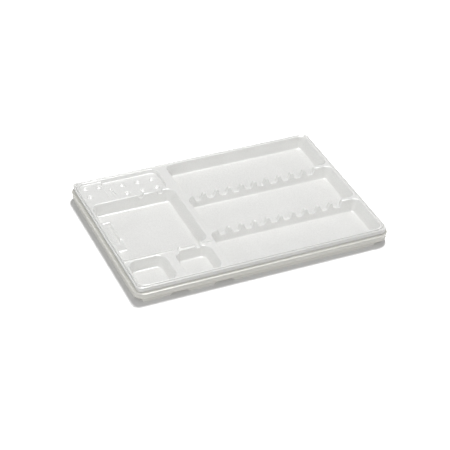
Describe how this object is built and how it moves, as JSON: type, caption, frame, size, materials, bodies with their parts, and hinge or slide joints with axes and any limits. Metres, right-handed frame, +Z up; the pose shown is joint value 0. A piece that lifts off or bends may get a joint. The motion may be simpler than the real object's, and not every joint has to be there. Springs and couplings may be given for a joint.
{
  "type": "compartment tray",
  "caption": "Shallow divided tray with long troughs between toothed rests, a pad bay, small wells and a dimpled platform, on a flanged base tray.",
  "frame": {"origin": "on the table under the middle of the tray, at the bottom centre of its box", "axes": "+X along the long side, from the pad compartment to the right end of the troughs; +Y from the front edge to the back edge; +Z up"},
  "size_m": [0.34, 0.245, 0.022],
  "materials": {
    "tray_plastic": "gloss, moulded white polystyrene",
    "base_plastic": "gloss, moulded white polystyrene"
  },
  "bodies": {
    "base": {"base_tray": "base_plastic"},
    "insert": {"compartment_tray": "tray_plastic"}
  },
  "joints": [
    {"name": "insert_lift", "type": "slide", "parent": "base", "child": "insert", "axis": [0, 0, 1], "range_m": [0, 0.06]}
  ]
}
